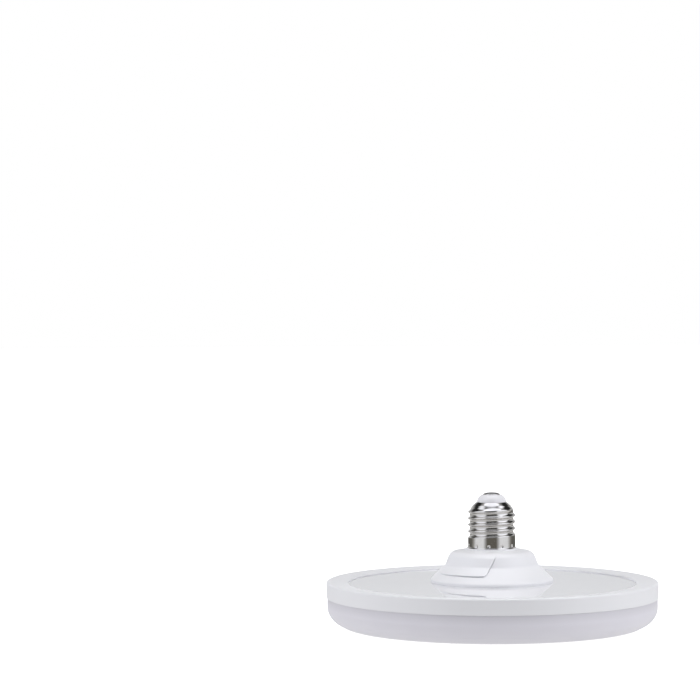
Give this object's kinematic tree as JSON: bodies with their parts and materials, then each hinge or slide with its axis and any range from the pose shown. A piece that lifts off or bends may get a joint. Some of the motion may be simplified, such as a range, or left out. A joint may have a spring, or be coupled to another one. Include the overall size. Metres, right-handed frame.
{
  "type": "flat round led lamp",
  "caption": "Flat disc-shaped LED lamp with a pyramid-patterned diffuser face, white rim and back plate, flared neck and an E27 screw cap.",
  "frame": {"origin": "on the lamp's axis at the diffuser's outer face", "axes": "+Z along the axis from the diffuser's face to the screw cap, -Y the side that the picture shows"},
  "size_m": [0.1844, 0.1844, 0.0743],
  "materials": {
    "opal_diffuser": "satin opal polystyrene",
    "white_casing": "satin white moulded plastic",
    "white_coated_plate": "glossy white coat on aluminium sheet",
    "grey_silicone": "soft matt sheet",
    "white_solder_mask": "white solder mask on an aluminium core",
    "led_phosphor": "yellow phosphor in a white package",
    "zinc_steel": "zinc plated",
    "nickel_plate": "nickel plated brass sheet",
    "white_insulator": "satin white moulded plastic",
    "circuit_board": "green solder mask on glass-epoxy",
    "ferrite": "dull sintered ferrite",
    "copper_wire": "enamelled copper wire",
    "black_sleeve": "shrunk film sleeve",
    "black_epoxy": "moulded epoxy",
    "resistor_coat": "flameproof coat",
    "brown_insulation": "wire insulation",
    "blue_insulation": "wire insulation",
    "red_insulation": "wire insulation",
    "black_insulation": "wire insulation"
  },
  "bodies": {
    "root": {"diffuser": "opal_diffuser", "rim_ring": "white_casing", "back_plate": "white_coated_plate", "thermal_pad": "grey_silicone", "led_board": "white_solder_mask", "led_packages": "led_phosphor", "neck_housing": "white_casing", "neck_screws": "zinc_steel", "screw_shell": "nickel_plate", "cap_insulator": "white_insulator", "centre_contact": "nickel_plate", "driver_tray": "white_insulator", "driver_board": "circuit_board", "choke_core": "ferrite", "choke_winding": "copper_wire", "input_capacitor": "black_sleeve", "output_capacitor": "black_sleeve", "bridge_rectifier": "black_epoxy", "driver_chip": "black_epoxy", "output_diode": "black_epoxy", "fuse_resistor": "resistor_coat", "live_wire": "brown_insulation", "neutral_wire": "blue_insulation", "led_lead_positive": "red_insulation", "led_lead_negative": "black_insulation"}
  },
  "joints": []
}
